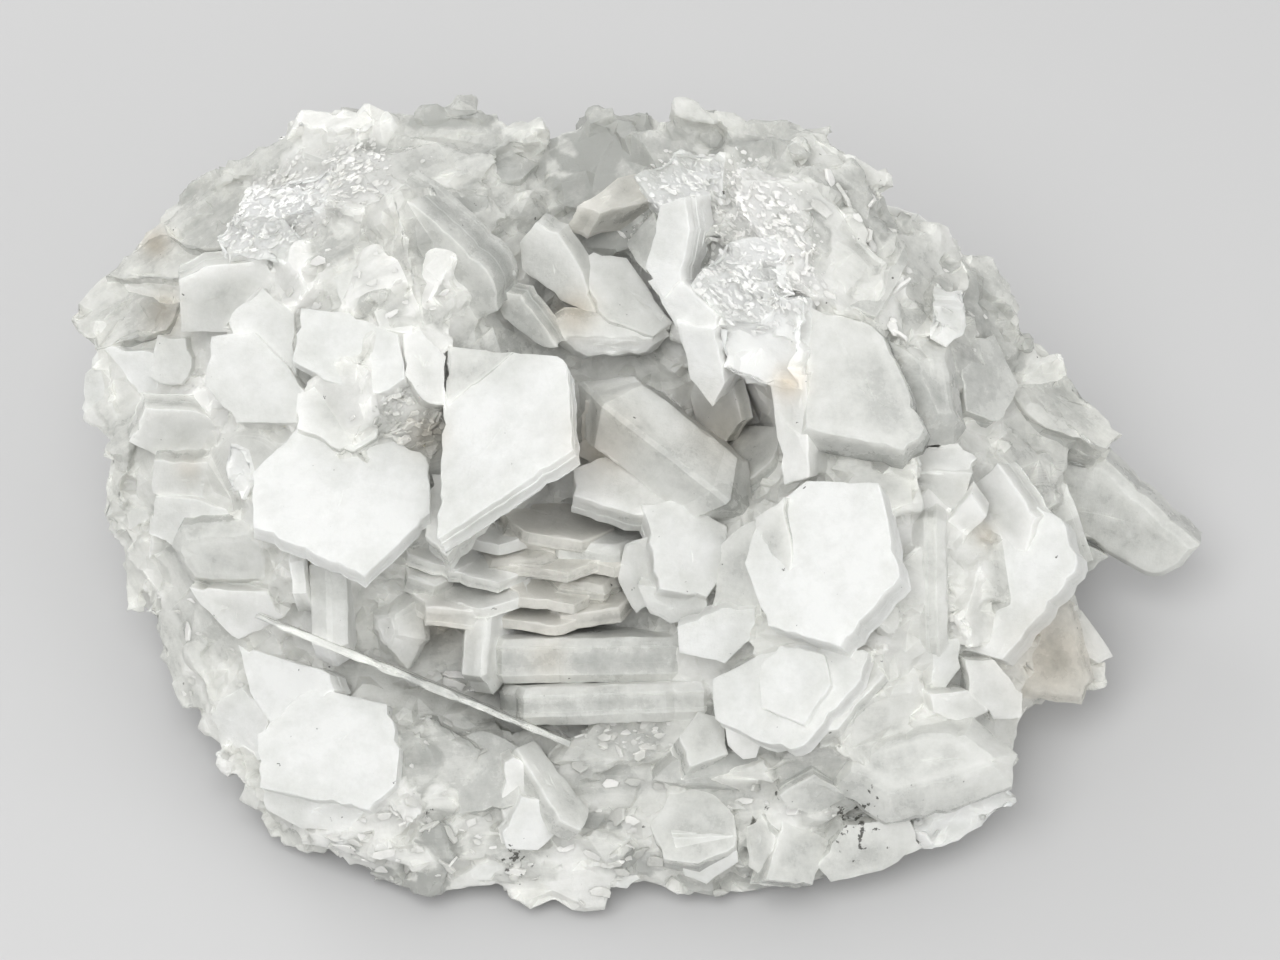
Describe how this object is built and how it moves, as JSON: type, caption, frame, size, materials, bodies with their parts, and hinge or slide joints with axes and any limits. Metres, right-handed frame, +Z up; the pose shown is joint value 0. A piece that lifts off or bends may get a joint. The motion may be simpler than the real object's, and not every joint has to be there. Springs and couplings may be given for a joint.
{
  "type": "calcite crystal cluster",
  "caption": "Hand specimen of poker chip calcite: flat six-sided white crystals standing at all angles on a broken mass of the same mineral, with a flat underside.",
  "frame": {"origin": "middle of the specimen's box, on its flat underside", "axes": "+X to the right along the specimen's length, -Y towards the viewer of the crystal face, +Z up from the surface it stands on"},
  "size_m": [0.1323, 0.0839, 0.0574],
  "materials": {
    "calcite": "frosted, translucent white to pale grey, satin on the flat chips"
  },
  "bodies": {
    "root": {"calcite_cluster": "calcite"}
  },
  "joints": []
}
